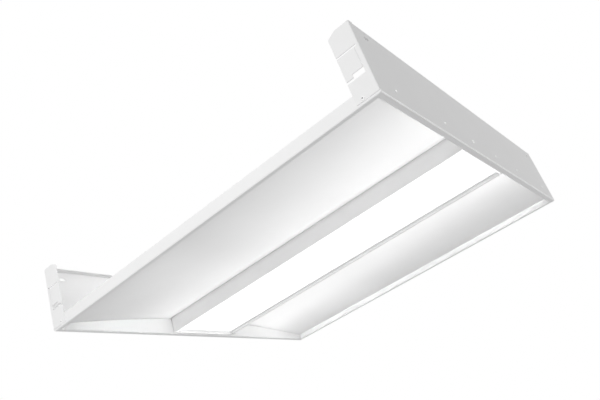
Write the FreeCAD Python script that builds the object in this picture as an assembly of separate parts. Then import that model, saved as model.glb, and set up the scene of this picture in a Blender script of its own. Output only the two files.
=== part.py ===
import FreeCAD, Part
import math
import os

# A square recessed ceiling light for a lay-in grid, in millimetres.
# Z = 0 is the face that rests on the grid, X runs along the lens basket and +Z points into the ceiling.
# Two curved reflector wings slope up from the rim to a basket that hangs down and holds the lens.
# The near side is -Y and the far side is +Y; right is +X and left is -X.

Vector = FreeCAD.Vector
X_AXIS = Vector(1, 0, 0)
Y_AXIS = Vector(0, 1, 0)
Z_AXIS = Vector(0, 0, 1)
ORIGIN = Vector(0, 0, 0)

# Overall housing
housing_side = 603.0
housing_height = 101.6
plate_gauge = 0.8
frame_gauge = 0.8
bend_radius = 0.8

# Rim and reflector wings
rim_width = 7.6
side_web_height = 17.0
lip_height = 9.5
wing_top = 28.8
wing_crown = 1.35
wing_edge_straight = 6.4
upstand_height = 15.4
mitre_gap = 0.1

# End trims, the channels that close the two ends of the reflector
trim_leg_height = 26.0
trim_wall_corner_height = 13.0
trim_wall_shoulder_height = 28.0
trim_wall_shoulder_inset = 18.0

# End plates with their corner tabs and grid clips
plate_lift = 1.2
plate_return_width = 10.0
plate_return_inset = 8.0
tab_width = 31.0
tab_bottom = 3.0
tab_top_width = 19.5
tab_chamfer_height = 5.4
clip_slot_bottom = 67.0
clip_slot_height = 2.0
clip_slot_root = 3.6
clip_mouth_bottom = 31.5
clip_mouth_height = 3.0
clip_mouth_depth = 9.5
clip_pocket_height = 7.6
clip_bend_inset = 6.3
clip_bend_gap = 0.4
hanger_slot_inset = 29.5
hanger_slot_height = 88.0
hanger_slot_length = 10.0
hanger_slot_width = 4.5

# Spine that carries the light boards and the driver
spine_gauge = 0.8
spine_inner_height = 46.0
spine_web_foot = 30.6
spine_tab_offset = 32.0
spine_tab_width = 24.0
spine_tab_drop = 12.0

# Lens basket, which swings down as a door
basket_width = 145.2
basket_side_gap = 0.6
basket_end_gap = 1.2
basket_bottom = 2.2
basket_height = 28.8
basket_gauge = 0.6
basket_bend_radius = 0.4
hem_width = 3.0
hem_height = 5.2
lens_ledge_width = 6.6
basket_top_flange = 8.0
lens_thickness = 2.5
lens_edge_gap = 0.4
corner_angle_leg = 12.0
corner_angle_height = 14.0
corner_angle_lift = 1.5

# Hinges on the far rail and spring catches on the near rail
hinge_offset = 180.0
hinge_axis_inset = 3.5
hinge_axis_height = 24.0
hinge_pin_radius = 1.2
hinge_running_gap = 0.05
hinge_eye_radius = 2.3
hinge_eye_width = 16.0
hinge_ear_radius = 2.9
hinge_ear_gap = 0.4
hinge_ear_gauge = 0.8
hinge_leaf_height = 9.0
hinge_notch_margin = 3.0
hinge_notch_drop = 0.75
hinge_plate_height = 10.0
hinge_plate_lift = 2.0
catch_width = 14.0
catch_gauge = 0.5
catch_clearance = 0.3
catch_drop = 3.4

# Lens clips
lens_clip_offset = 90.0
lens_clip_width = 20.0
lens_clip_leg = 8.0
lens_clip_height = 12.0

# Light boards
board_end_gap = 13.1
board_width = 26.0
board_thickness = 1.6
board_offset = 37.0
led_side = 3.0
led_height = 0.7
led_pitch = 20.0
led_row_shift = 4.0
led_end_margin = 10.0
board_screw_end_inset = 14.0
board_screw_connector_gap = 22.0
board_screw_margin = 1.0
connector_length = 12.0
connector_width = 8.0
connector_height = 4.5
connector_driver_gap = 17.0

# Driver and wiring compartment on top of the spine
driver_length = 250.0
driver_width = 42.0
driver_height = 26.0
driver_offset = -22.0
driver_base_wall = 9.0
driver_foot_length = 14.0
cover_end_space = 65.0
cover_width = 116.0
cover_height = 44.0
cover_gauge = 0.8
cover_foot_width = 12.0
cover_screw_inset = 40.0
conduit_hole_radius = 11.1
conduit_hole_inset = 22.0
conduit_hole_offset = 8.0
terminal_length = 30.0
terminal_width = 24.0
terminal_height = 18.0
terminal_driver_gap = 25.0
terminal_near_offset = 18.0
terminal_entries = 3
terminal_mouth_radius = 3.3
terminal_throat_radius = 2.0
terminal_funnel_depth = 5.0
ground_screw_gap = 18.0
ground_screw_wall_gap = 4.5
grommet_hole_radius = 5.0
grommet_lip = 1.5
grommet_sides = 12
lead_radius = 0.9
lead_bend = 3.0
lead_bow = 5.0
lead_spread = 1.6
lead_start = 4.0
lead_run_out = 19.0
lead_upper_lift = 13.0
lead_lower_lift = 7.3
lead_inner_shift = 8.4
lead_outer_shift = -2.1

# Fasteners
fastener_sides = 6
rivet_radius = 1.6
rivet_head_radius = 2.6
rivet_head_height = 0.8
rivet_tail = 1.0
screw_radius = 1.5
screw_head_radius = 2.9
screw_head_height = 1.9
screw_crown_radius = 2.0
screw_tail = 2.0
hole_clearance = 0.05
plate_rivet_height = 18.5
plate_rivet_offsets = (41.0, 131.0, 256.0)
tab_rivet_inset = 21.6
tab_rivet_height = 6.5
wing_tab_offsets = (120.0, 230.0)
wing_tab_width = 20.0
wing_tab_height = 10.0
wing_tab_rivet_lift = 6.0
spine_rivet_offsets = (80.0, 240.0)

# Planes and heights that several pieces share
plate_face = housing_side / 2
frame_face = plate_face - plate_gauge
lip_face = frame_face - rim_width
basket_face = basket_width / 2
upstand_face = basket_face + basket_side_gap
upstand_back = upstand_face + frame_gauge
spine_face = upstand_back + spine_gauge
spine_top = spine_inner_height + spine_gauge
basket_end = lip_face - basket_end_gap
basket_top = basket_bottom + basket_height
rail_inner_face = basket_face - basket_gauge
ledge_bottom = basket_bottom + hem_height
ledge_top = ledge_bottom + basket_gauge
lens_top = ledge_top + lens_thickness
hinge_axis_y = rail_inner_face - hinge_axis_inset
hinge_bore_radius = hinge_pin_radius + hinge_running_gap
hinge_ear_offset = hinge_eye_width / 2 + hinge_ear_gap
hinge_plate_bottom = basket_top + hinge_plate_lift
hinge_plate_middle = hinge_plate_bottom + hinge_plate_height / 2
board_bottom = spine_inner_height - board_thickness
board_centres = (-board_offset, board_offset)
hinge_centres = (-hinge_offset, hinge_offset)
clip_fold_x = plate_face - clip_bend_inset
board_length = 2 * (lip_face - board_end_gap)
cover_length = driver_length + 2 * cover_end_space
connector_offset = driver_length / 2 + driver_foot_length + connector_driver_gap
board_screw_offsets = (connector_offset + board_screw_connector_gap, board_length / 2 - board_screw_end_inset)
terminal_left_offset = driver_length / 2 + terminal_driver_gap
ground_screw_offset = terminal_left_offset + ground_screw_gap
ground_screw_side = cover_width / 2 - ground_screw_wall_gap


def box(low, high):
    """A box between two opposite corners."""
    size = high - low
    return Part.makeBox(size.x, size.y, size.z, low)


def rod(start, direction, radius, length):
    """A round bar."""
    return Part.makeCylinder(radius, length, start, direction)


def closed(corners):
    """A closed outline with straight sides."""
    return Part.makePolygon(corners + [corners[0]])


def prism(points, travel):
    """A flat outline swept straight along a vector."""
    return Part.Face(closed(points)).extrude(travel)


def even_corners(centre, direction, radius, sides):
    """The corners of a regular outline that faces along a direction."""
    first = X_AXIS if abs(direction.z) > abs(direction.x) + abs(direction.y) else Z_AXIS
    second = direction.cross(first).normalize()
    first = second.cross(direction).normalize()
    corners = []
    for index in range(sides):
        angle = index * 2 * math.pi / sides
        corners.append(centre + first * (radius * math.cos(angle)) + second * (radius * math.sin(angle)))
    return corners


def six_sided_bar(start, direction, radius, length, end_radius=None):
    """A straight or tapering bar with six flat sides, for small fasteners and their holes."""
    foot = even_corners(start, direction, radius, fastener_sides)
    top = even_corners(start + direction * length, direction, end_radius or radius, fastener_sides)
    outlines = [foot, top]
    for index in range(-1, len(foot) - 1):
        outlines.append([foot[index], foot[index + 1], top[index + 1], top[index]])
    faces = [Part.Face(closed(outline)) for outline in outlines]
    return Part.makeSolid(Part.makeShell(faces))


def across(shape, normal):
    """The mirror image of a shape in a plane through the origin."""
    return shape.mirror(ORIGIN, normal)


def turn_of(before, corner, after):
    """Positive where a flat path turns left at its corner."""
    first = (corner[0] - before[0], corner[1] - before[1])
    second = (after[0] - corner[0], after[1] - corner[1])
    return first[0] * second[1] - first[1] * second[0]


def right_normal(start, end):
    """The unit vector to the right of a flat run."""
    run = math.hypot(end[0] - start[0], end[1] - start[1])
    return ((end[1] - start[1]) / run, (start[0] - end[0]) / run)


def back_of_sheet(skin, gauge):
    """The corners of the sheet's other face, a gauge to the right of its skin; a sharp fold stays sharp."""
    back = []
    last = len(skin) - 1
    for index, corner in enumerate(skin):
        before = right_normal(skin[max(index - 1, 0)], skin[max(index, 1)])
        after = right_normal(skin[min(index, last - 1)], skin[min(index + 1, last)])
        reach = gauge / (1 + before[0] * after[0] + before[1] * after[1])
        radius = corner[2]
        if radius > 0:
            left_turn = turn_of(skin[index - 1], corner, skin[index + 1]) > 0
            radius += gauge if left_turn else -gauge
        shift = ((before[0] + after[0]) * reach, (before[1] + after[1]) * reach)
        back.append((corner[0] + shift[0], corner[1] + shift[1], radius))
    return back


def bend_points(before, corner, after, radius):
    """Where a bend starts, its middle and where it ends, between two straight runs."""
    towards_start = (before - corner).normalize()
    towards_end = (after - corner).normalize()
    half_angle = towards_start.getAngle(towards_end) / 2
    reach = radius / math.tan(half_angle)
    bisector = (towards_start + towards_end).normalize()
    middle = corner + bisector * (radius / math.sin(half_angle) - radius)
    return corner + towards_start * reach, middle, corner + towards_end * reach


def bent_edges(points, radii):
    """Straight runs joined by tangent arcs, or by a sharp corner where the radius is zero."""
    edges = []
    start = points[0]
    for index in range(1, len(points) - 1):
        if radii[index] > 0:
            bend = bend_points(points[index - 1], points[index], points[index + 1], radii[index])
            edges.append(Part.LineSegment(start, bend[0]).toShape())
            edges.append(Part.Arc(*bend).toShape())
            start = bend[2]
        else:
            edges.append(Part.LineSegment(start, points[index]).toShape())
            start = points[index]
    edges.append(Part.LineSegment(start, points[-1]).toShape())
    return edges


def folded_sheet(skin, gauge, place, travel):
    """Sheet metal folded along a path: the skin's corners are (across, up, radius of the skin's bend)."""
    back = back_of_sheet(skin, gauge)
    back.reverse()
    skin_points = [place(corner[0], corner[1]) for corner in skin]
    back_points = [place(corner[0], corner[1]) for corner in back]
    edges = bent_edges(skin_points, [corner[2] for corner in skin])
    edges.append(Part.LineSegment(skin_points[-1], back_points[0]).toShape())
    edges += bent_edges(back_points, [corner[2] for corner in back])
    edges.append(Part.LineSegment(back_points[-1], skin_points[0]).toShape())
    return Part.Face(Part.Wire(edges)).extrude(travel)


def cross_section(along):
    """Places a section drawn across the light, at a given X."""
    return lambda across_y, up: Vector(along, across_y, up)


def long_section(side):
    """Places a section drawn along the light, at a given Y."""
    return lambda along, up: Vector(along, side, up)


def plan_section(height):
    """Places a section drawn in plan, at a given height."""
    return lambda along, side: Vector(along, side, height)


def outside(gauge, radius):
    """The skin radius of a bend whose skin is on the outside."""
    return radius + gauge


def rivet(seat, direction, grip):
    """A blind rivet: a low head on the seat and a shank that ends behind the sheets."""
    head = six_sided_bar(seat, direction * -1, rivet_head_radius, rivet_head_height, rivet_radius)
    return head.fuse(six_sided_bar(seat, direction, rivet_radius, grip + rivet_tail)).removeSplitter()


def screw(seat, direction, grip):
    """A pan-head sheet screw: its head on the seat and its point beyond the sheets."""
    head = six_sided_bar(seat, direction * -1, screw_head_radius, screw_head_height, screw_crown_radius)
    return head.fuse(six_sided_bar(seat, direction, screw_radius, grip + screw_tail)).removeSplitter()


def hole(centre, direction, radius):
    """A cutter for a fastener, through a few millimetres of sheet on both sides of a point."""
    depth = 3 * plate_gauge
    return six_sided_bar(centre - direction * depth, direction, radius, 2 * depth)


def round_hole(centre, direction, radius):
    """A round cutter through a few millimetres of sheet on both sides of a point."""
    depth = 3 * plate_gauge
    return rod(centre - direction * depth, direction, radius, 2 * depth)


def wire_along(points, radius, bend):
    """A six-sided wire along straight runs, with each bend in two short chords."""
    route = [points[0]]
    for index in range(1, len(points) - 1):
        route += bend_points(points[index - 1], points[index], points[index + 1], bend)
    route.append(points[-1])
    start_direction = (points[1] - points[0]).normalize()
    section = closed(even_corners(points[0], start_direction, radius, fastener_sides))
    mitred = 1
    return Part.makePolygon(route).makePipeShell([section], True, False, mitred)


def wing_height(side):
    """Height of the wing's lower face at a distance from the centre line."""
    span = (lip_face - side) / (lip_face - upstand_face)
    return lip_height + (wing_top - lip_height) * span + 4 * wing_crown * span * (1 - span)


def wing_tab_seats():
    """Distances of the wing's end tabs from the centre line, and the height of each rivet."""
    return [(side, wing_height(side) + wing_tab_rivet_lift) for side in wing_tab_offsets]


def corner_rivet_seat(end, side):
    """Where the rivet goes through a corner tab and the side web."""
    return Vector(end * (plate_face - tab_rivet_inset), side * plate_face, tab_rivet_height)


def far_wing():
    """Side web, rim flange, lip, curved wing and upstand, folded from one sheet."""
    fold = outside(frame_gauge, bend_radius)
    half_span = (lip_face - upstand_face) / 2
    middle_height = (lip_height + wing_top) / 2 + 2 * wing_crown
    half_rise = middle_height - (lip_height + wing_top) / 2
    crown_radius = (half_span - wing_edge_straight) * half_span / (2 * half_rise)
    skin = [
        (frame_face, side_web_height, 0),
        (frame_face, 0, fold),
        (lip_face, 0, fold),
        (lip_face, lip_height, bend_radius),
        (lip_face - half_span, middle_height, crown_radius),
        (upstand_face, wing_top, fold),
        (upstand_face, wing_top + upstand_height, 0),
    ]
    skin.reverse()
    skin = [(-side, up, radius) for side, up, radius in skin]
    travel = X_AXIS * (2 * frame_face)
    wing = across(folded_sheet(skin, frame_gauge, cross_section(-frame_face), travel), Y_AXIS)
    for end in (-1, 1):
        wing = wing.cut(wing_end_cutter(end))
        for side, rivet_height in wing_tab_seats():
            wing = wing.fuse(wing_end_tab(end, side))
            centre = Vector(end * lip_face, side, rivet_height)
            wing = wing.cut(hole(centre, X_AXIS, rivet_radius + hole_clearance))
        seat = corner_rivet_seat(end, 1)
        wing = wing.cut(hole(seat - Y_AXIS * plate_gauge, Y_AXIS, rivet_radius + hole_clearance))
    for seat in spine_rivet_seats() + [hinge_rivet_seat(along) for along in hinge_centres]:
        wing = wing.cut(hole(seat, Y_AXIS, rivet_radius + hole_clearance))
    return wing.removeSplitter()


def wing_end_cutter(end):
    """Squares the wing off at the end trim and mitres the rim at the corner."""
    reach = frame_face + rim_width
    beyond = box(Vector(lip_face, 0, -rim_width), Vector(reach, lip_face, housing_height))
    mitre = prism(
        [
            Vector(lip_face - mitre_gap, lip_face, -rim_width),
            Vector(reach - mitre_gap, reach, -rim_width),
            Vector(reach, lip_face, -rim_width),
        ],
        Z_AXIS * housing_height,
    )
    inside_bend = box(
        Vector(frame_face - bend_radius, lip_face, tab_bottom - mitre_gap),
        Vector(reach, reach, housing_height),
    )
    cutter = beyond.fuse([mitre, inside_bend])
    return cutter if end > 0 else across(cutter, X_AXIS)


def wing_end_tab(end, side):
    """A tab turned up from the wing's end and riveted to the end trim."""
    inner = side - wing_tab_width / 2
    outer = side + wing_tab_width / 2
    mid_gauge = frame_gauge / 2
    face = end * (lip_face - frame_gauge)
    top = wing_height(side) + wing_tab_height
    outline = [
        Vector(face, inner, wing_height(inner) + mid_gauge),
        Vector(face, outer, wing_height(outer) + mid_gauge),
        Vector(face, outer, top),
        Vector(face, inner, top),
    ]
    return prism(outline, X_AXIS * (end * frame_gauge))


def spine_rivet_seats():
    """Rivets through the far spine web and the wing's upstand, from outside."""
    height = (spine_web_foot + spine_inner_height) / 2
    return [Vector(end * along, spine_face, height) for end in (-1, 1) for along in spine_rivet_offsets]


def right_trim():
    """End channel: outer leg, rim flange and the inner wall that closes the reflector."""
    fold = outside(frame_gauge, bend_radius)
    skin = [
        (frame_face, trim_leg_height, 0),
        (frame_face, 0, fold),
        (lip_face, 0, fold),
        (lip_face, spine_inner_height, 0),
    ]
    trim = folded_sheet(skin, frame_gauge, long_section(-frame_face), Y_AXIS * (2 * frame_face))
    shoulder_side = lip_face - trim_wall_shoulder_inset
    outline = [
        Vector(lip_face - frame_gauge, spine_face, spine_inner_height),
        Vector(lip_face - frame_gauge, shoulder_side, trim_wall_shoulder_height),
        Vector(lip_face - frame_gauge, frame_face, trim_wall_corner_height),
        Vector(lip_face - frame_gauge, frame_face, housing_height),
        Vector(lip_face - frame_gauge, spine_face, housing_height),
    ]
    above_wall = prism(outline, X_AXIS * (3 * frame_gauge))
    reach = frame_face + rim_width
    mitre = prism(
        [
            Vector(lip_face - rim_width, lip_face - rim_width - mitre_gap, -rim_width),
            Vector(reach, reach - mitre_gap, -rim_width),
            Vector(lip_face - rim_width, reach, -rim_width),
        ],
        Z_AXIS * housing_height,
    )
    inside_bend = box(
        Vector(lip_face, frame_face - bend_radius, tab_bottom - mitre_gap),
        Vector(reach, reach, housing_height),
    )
    tab_half = spine_tab_width / 2 + mitre_gap
    below_tab = box(
        Vector(lip_face, spine_tab_offset - tab_half, spine_inner_height - bend_radius - mitre_gap),
        Vector(reach, spine_tab_offset + tab_half, housing_height),
    )
    for cutter in (above_wall, mitre, inside_bend, below_tab):
        trim = trim.cut([cutter, across(cutter, Y_AXIS)])
    for side in (-1, 1):
        for offset, rivet_height in wing_tab_seats():
            centre = Vector(lip_face, side * offset, rivet_height)
            trim = trim.cut(hole(centre, X_AXIS, rivet_radius + hole_clearance))
        centre = Vector(lip_face, side * spine_tab_offset, spine_tab_rivet_height())
        trim = trim.cut(hole(centre, X_AXIS, rivet_radius + hole_clearance))
        for offset in plate_rivet_offsets:
            centre = Vector(frame_face, side * offset, plate_rivet_height)
            trim = trim.cut(hole(centre, X_AXIS, rivet_radius + hole_clearance))
    return trim.removeSplitter()


def spine_tab_rivet_height():
    """Height of the rivets that tie the spine's end tabs to the end trims."""
    return spine_inner_height - spine_tab_drop / 2


def right_end_plate():
    """Tall end plate: web, top return flange and two corner tabs with their grid-clip windows."""
    fold = outside(plate_gauge, bend_radius)
    return_half = plate_face - plate_return_inset
    web_half = plate_face - 2 * fold
    skin = [
        (plate_face - plate_return_width, housing_height, 0),
        (plate_face, housing_height, fold),
        (plate_face, plate_lift, 0),
    ]
    plate = folded_sheet(skin, plate_gauge, long_section(-return_half), Y_AXIS * (2 * return_half))
    for side in (-1, 1):
        near_edge = side * return_half
        far_edge = side * web_half
        low = Vector(frame_face, min(near_edge, far_edge), plate_lift)
        high = Vector(plate_face, max(near_edge, far_edge), housing_height)
        plate = plate.fuse(box(low, high))
    plate = plate.fuse([far_corner_tab(), across(far_corner_tab(), Y_AXIS)])
    for side in (-1, 1):
        plate = plate.cut(hanger_slot(side))
        for offset in plate_rivet_offsets:
            centre = Vector(plate_face, side * offset, plate_rivet_height)
            plate = plate.cut(hole(centre, X_AXIS, rivet_radius + hole_clearance))
    return plate.removeSplitter()


def far_corner_tab():
    """The plate's corner wrapped on to the long side, with the window round the grid clip."""
    fold = outside(plate_gauge, bend_radius)
    skin = [
        (plate_face - tab_width, plate_face, 0),
        (plate_face, plate_face, fold),
        (plate_face, plate_face - 3 * fold, 0),
    ]
    tab = folded_sheet(skin, plate_gauge, plan_section(tab_bottom), Z_AXIS * (housing_height - tab_bottom))
    free_edge = plate_face - tab_width
    chamfer = prism(
        [
            Vector(free_edge, frame_face, housing_height - tab_chamfer_height),
            Vector(plate_face - tab_top_width, frame_face, housing_height),
            Vector(free_edge, frame_face, housing_height),
        ],
        Y_AXIS * plate_gauge,
    )
    clip_space = box(
        Vector(free_edge, frame_face, clip_mouth_bottom),
        Vector(clip_fold_x, plate_face, clip_slot_bottom + clip_slot_height),
    )
    upper_slot = box(
        Vector(free_edge, frame_face, clip_slot_bottom),
        Vector(plate_face - clip_slot_root, plate_face, clip_slot_bottom + clip_slot_height),
    )
    tab = tab.cut([chamfer, clip_space, upper_slot])
    foot = box(
        Vector(frame_face, plate_face - 3 * fold, plate_lift),
        Vector(plate_face, frame_face, tab_bottom + fold),
    )
    seat = corner_rivet_seat(1, 1)
    return tab.fuse(foot).cut(hole(seat, Y_AXIS, rivet_radius + hole_clearance))


def hanger_slot(side):
    """A rounded slot for a hanger wire, high up near the plate's corner."""
    reach = (hanger_slot_length - hanger_slot_width) / 2
    radius = hanger_slot_width / 2
    centre = Vector(frame_face - plate_gauge, side * (plate_face - hanger_slot_inset), hanger_slot_height)
    depth = 3 * plate_gauge
    middle = box(centre - Vector(0, reach, radius), centre + Vector(depth, reach, radius))
    ends = [rod(centre + Y_AXIS * shift, X_AXIS, radius, depth) for shift in (-reach, reach)]
    return middle.fuse(ends)


def far_right_clip():
    """The hooked tongue that is bent out over the grid's tee bar."""
    free_edge = plate_face - tab_width
    hook_edge = free_edge + clip_mouth_depth
    hook_bottom = clip_mouth_bottom + clip_mouth_height
    shank_bottom = clip_mouth_bottom + clip_pocket_height
    fold_edge = clip_fold_x - clip_bend_gap
    outline = [
        Vector(free_edge, frame_face, hook_bottom),
        Vector(hook_edge, frame_face, hook_bottom),
        Vector(hook_edge, frame_face, shank_bottom),
        Vector(fold_edge, frame_face, shank_bottom),
        Vector(fold_edge, frame_face, clip_slot_bottom),
        Vector(free_edge, frame_face, clip_slot_bottom),
    ]
    return prism(outline, Y_AXIS * plate_gauge)


def spine():
    """Inverted channel over the basket, with tabs turned down behind the end trims."""
    fold = outside(spine_gauge, bend_radius)
    skin = [
        (-spine_face, spine_web_foot, 0),
        (-spine_face, spine_top, fold),
        (spine_face, spine_top, fold),
        (spine_face, spine_web_foot, 0),
    ]
    channel = folded_sheet(skin, spine_gauge, cross_section(-lip_face), X_AXIS * (2 * lip_face))
    tab_face = lip_face + frame_gauge + spine_gauge
    tab_skin = [
        (lip_face - spine_tab_width, spine_top, 0),
        (tab_face, spine_top, 0),
        (tab_face, spine_inner_height - spine_tab_drop, 0),
    ]
    for side in (-1, 1):
        start = side * spine_tab_offset - spine_tab_width / 2
        tab = folded_sheet(tab_skin, spine_gauge, long_section(start), Y_AXIS * spine_tab_width)
        centre = Vector(tab_face, side * spine_tab_offset, spine_tab_rivet_height())
        tab = tab.cut(hole(centre, X_AXIS, rivet_radius + hole_clearance))
        channel = channel.fuse([tab, across(tab, X_AXIS)])
    rivet_seats = spine_rivet_seats() + [hinge_rivet_seat(along) for along in hinge_centres]
    cutters = [hole(seat, Y_AXIS, rivet_radius + hole_clearance) for seat in rivet_seats]
    cutters += [across(cutter, Y_AXIS) for cutter in cutters]
    for seat in board_screw_seats() + driver_screw_seats() + cover_screw_seats() + [ground_screw_seat()]:
        centre = Vector(seat.x, seat.y, spine_top)
        cutters.append(hole(centre, Z_AXIS, screw_radius + hole_clearance))
    below = Vector(connector_offset, 0, spine_inner_height - grommet_lip)
    cutters.append(prism(even_corners(below, Z_AXIS, grommet_hole_radius, grommet_sides), Z_AXIS * spine_top))
    return channel.cut(cutters).removeSplitter()


def led_board(side):
    """A long narrow circuit board under the spine, holed for its screws."""
    low = Vector(-board_length / 2, side - board_width / 2, board_bottom)
    high = Vector(board_length / 2, side + board_width / 2, spine_inner_height)
    board = box(low, high)
    for seat in board_screw_seats():
        if seat.y * side > 0:
            board = board.cut(hole(seat, Z_AXIS, screw_radius + hole_clearance))
    return board


def board_screw_seats():
    """Four screws along the inner edge of each board."""
    seats = []
    for centre in board_centres:
        inward = -1 if centre > 0 else 1
        side = centre + inward * (board_width / 2 - screw_head_radius - board_screw_margin)
        for offset in board_screw_offsets:
            seats += [Vector(end * offset, side, board_bottom) for end in (-1, 1)]
    return seats


def led_packages(side):
    """One row of light-emitting packages, the same pitch all along the board."""
    outward = 1 if side > 0 else -1
    row = side + outward * led_row_shift
    count = int((board_length - 2 * led_end_margin) // led_pitch)
    start = -led_pitch * (count - 1) / 2
    half = led_side / 2
    packages = []
    for index in range(count):
        centre = Vector(start + index * led_pitch, row, board_bottom)
        low = centre - Vector(half, half, led_height)
        packages.append(box(low, centre + Vector(half, half, 0)))
    return Part.makeCompound(packages)


def board_connectors():
    """Push-in connectors on the boards' inner edges, two for each board."""
    blocks = []
    for along in (-connector_offset, connector_offset):
        for centre in board_centres:
            inward = -1 if centre > 0 else 1
            face = centre + inward * board_width / 2
            inner = face - inward * connector_width
            low = Vector(along - connector_length / 2, min(face, inner), board_bottom - connector_height)
            high = Vector(along + connector_length / 2, max(face, inner), board_bottom)
            blocks.append(box(low, high))
    return Part.makeCompound(blocks)


def connector_face():
    """Distance of the connectors' entry faces from the centre line."""
    return board_offset - board_width / 2


def lead_height():
    """Height of the leads below the spine, level with the connectors' entries."""
    return board_bottom - connector_height / 2


def grommet():
    """A rubber bush that lines the lead hole in the spine."""
    foot = Vector(connector_offset, 0, spine_inner_height - grommet_lip)
    travel = Z_AXIS * (spine_gauge + 2 * grommet_lip)
    outside_corners = even_corners(foot, Z_AXIS, grommet_hole_radius, grommet_sides)
    bore_corners = even_corners(foot, Z_AXIS, grommet_hole_radius - grommet_lip, grommet_sides)
    return prism(outside_corners, travel).cut(prism(bore_corners, travel))


def driver_base():
    """The driver's tray, with a slotted foot at each end."""
    half_width = driver_width / 2
    foot_end = driver_length / 2 + driver_foot_length
    floor = box(
        Vector(-foot_end, driver_offset - half_width, spine_top),
        Vector(foot_end, driver_offset + half_width, spine_top + plate_gauge),
    )
    near_wall = box(
        Vector(-driver_length / 2, driver_offset - half_width, spine_top),
        Vector(driver_length / 2, driver_offset - half_width + plate_gauge, spine_top + driver_base_wall),
    )
    far_wall = near_wall.translated(Y_AXIS * (driver_width - plate_gauge))
    base = floor.fuse([near_wall, far_wall])
    for seat in driver_screw_seats():
        base = base.cut(hole(seat, Z_AXIS, screw_radius + hole_clearance))
    return base.removeSplitter()


def driver_screw_seats():
    """One screw through each of the driver's feet."""
    along = (driver_length + driver_foot_length) / 2
    return [Vector(end * along, driver_offset, spine_top + plate_gauge) for end in (-1, 1)]


def driver_cover():
    """The driver's lid, a box pressed over the tray, with a hole for each lead."""
    half_width = driver_width / 2 - plate_gauge
    low = Vector(-driver_length / 2, driver_offset - half_width, spine_top + plate_gauge)
    high = Vector(driver_length / 2, driver_offset + half_width, spine_top + driver_height)
    lid = box(low, high)
    wall = Vector(plate_gauge, plate_gauge, 0)
    hollow = box(low + wall, high - wall - Z_AXIS * plate_gauge)
    top_edges = [edge for edge in lid.Edges if edge.BoundBox.ZMin > high.z - hole_clearance]
    lid = lid.makeFillet(bend_radius / 2, top_edges).cut(hollow)
    for route in lead_routes():
        if route[0].z > spine_top and abs(route[0].x) < driver_length / 2:
            exit_hole = Vector(math.copysign(driver_length / 2, route[0].x), route[0].y, route[0].z)
            lid = lid.cut(hole(exit_hole, X_AXIS, lead_radius + hole_clearance))
    return lid.removeSplitter()


def driver_circuit():
    """The driver's circuit board with its transformer and two capacitors."""
    half_width = driver_width / 2 - 2 * plate_gauge
    half_length = driver_length / 2 - 2 * driver_foot_length
    bottom = spine_top + plate_gauge
    board = box(
        Vector(-half_length, driver_offset - half_width, bottom),
        Vector(half_length, driver_offset + half_width, bottom + 2 * board_thickness),
    )
    transformer_side = driver_height / 2
    middle = Vector(0, driver_offset, bottom + board_thickness)
    transformer = box(
        middle - Vector(transformer_side, transformer_side, 0),
        middle + Vector(transformer_side, transformer_side, transformer_side),
    )
    pieces = [transformer]
    for end in (-1, 1):
        foot = Vector(end * half_length / 2, driver_offset, bottom + board_thickness)
        pieces.append(six_sided_bar(foot, Z_AXIS, driver_height / 4, driver_height / 2))
    return board.fuse(pieces).removeSplitter()


def wiring_cover():
    """Hat-shaped cover over the driver, with feet along its sides and a conduit hole in its top."""
    half_length = cover_length / 2
    half_width = cover_width / 2
    fold = outside(cover_gauge, bend_radius)
    top = spine_top + cover_height
    foot_edge = half_width + cover_foot_width - cover_gauge
    skin = [
        (-foot_edge, spine_top + cover_gauge, 0),
        (-half_width, spine_top + cover_gauge, 0),
        (-half_width, top, fold),
        (half_width, top, fold),
        (half_width, spine_top + cover_gauge, 0),
        (foot_edge, spine_top + cover_gauge, 0),
    ]
    hat = folded_sheet(skin, cover_gauge, cross_section(-half_length), X_AXIS * (2 * half_length))
    for end in (-1, 1):
        outer = end * half_length
        inner = end * (half_length - cover_gauge)
        inner_half = half_width - cover_gauge / 2
        low = Vector(min(outer, inner), -inner_half, spine_top)
        high = Vector(max(outer, inner), inner_half, top - cover_gauge / 2)
        wall = box(low, high)
        upper_edges = [edge for edge in wall.Edges if is_upper_corner(edge, inner_half, high.z)]
        hat = hat.fuse(wall.makeFillet(bend_radius, upper_edges))
    conduit_hole = Vector(conduit_hole_inset - half_length, conduit_hole_offset, top)
    hat = hat.cut(round_hole(conduit_hole, Z_AXIS, conduit_hole_radius))
    for seat in cover_screw_seats():
        hat = hat.cut(hole(seat, Z_AXIS, screw_radius + hole_clearance))
    return hat.removeSplitter()


def is_upper_corner(edge, half_width, top):
    """Whether an edge is one of a wall's two short edges at its upper corners."""
    centre = edge.CenterOfMass
    at_side = abs(abs(centre.y) - half_width) < hole_clearance
    return at_side and abs(centre.z - top) < hole_clearance


def cover_screw_seats():
    """Screws through the wiring cover's feet."""
    side = cover_width / 2 + cover_foot_width / 2
    height = spine_top + cover_gauge
    half = cover_length / 2 - cover_screw_inset
    return [Vector(end * half, hand * side, height) for end in (-1, 1) for hand in (-1, 1)]


def ground_screw_seat():
    """Where the ground screw stands in the wiring compartment."""
    return Vector(-ground_screw_offset, ground_screw_side, spine_top)


def terminal_block():
    """The supply connector, with a funnel at each wire entry."""
    low = Vector(-terminal_left_offset, terminal_near_offset, spine_top)
    high = low + Vector(terminal_length, terminal_width, terminal_height)
    block = box(low, high)
    pitch = terminal_length / terminal_entries
    for index in range(terminal_entries):
        mouth = Vector(low.x + pitch * (index + 1 / 2), high.y, low.z + 2 * terminal_height / 3)
        throat = mouth - Y_AXIS * terminal_funnel_depth
        radii = (terminal_throat_radius, terminal_mouth_radius)
        block = block.cut(six_sided_bar(throat, Y_AXIS, radii[0], terminal_funnel_depth, radii[1]))
    return block


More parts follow.
